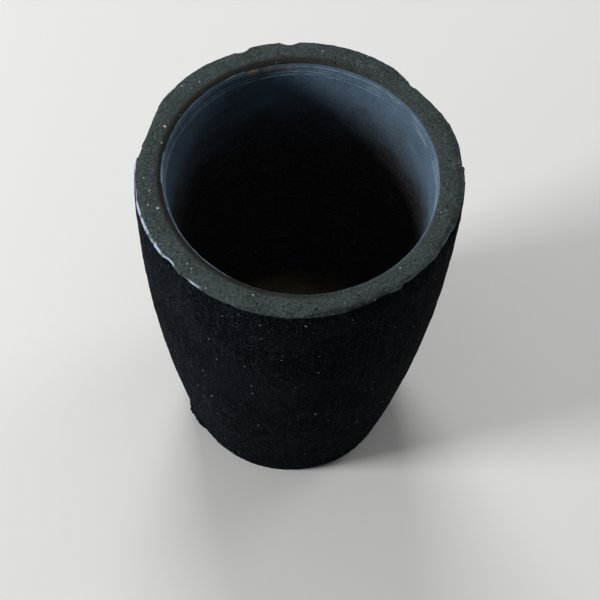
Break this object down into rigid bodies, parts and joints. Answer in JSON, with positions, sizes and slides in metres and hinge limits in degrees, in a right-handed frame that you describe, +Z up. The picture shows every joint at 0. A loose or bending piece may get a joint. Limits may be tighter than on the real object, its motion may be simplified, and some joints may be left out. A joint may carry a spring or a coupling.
{
  "type": "foundry crucible",
  "caption": "Small barrel-shaped foundry crucible, open at the top, with a bowed tapering wall, a thick worn rim and a flat foot.",
  "frame": {"origin": "centre of the foot, on the surface that the crucible stands on", "axes": "+Z up along the axis, from the foot to the mouth; the hollow stands slightly off the outer axis, towards +X"},
  "size_m": [0.0806, 0.0806, 0.107],
  "materials": {
    "clay_graphite": "matte, gritty, fired clay-graphite"
  },
  "bodies": {
    "root": {"crucible": "clay_graphite"}
  },
  "joints": []
}
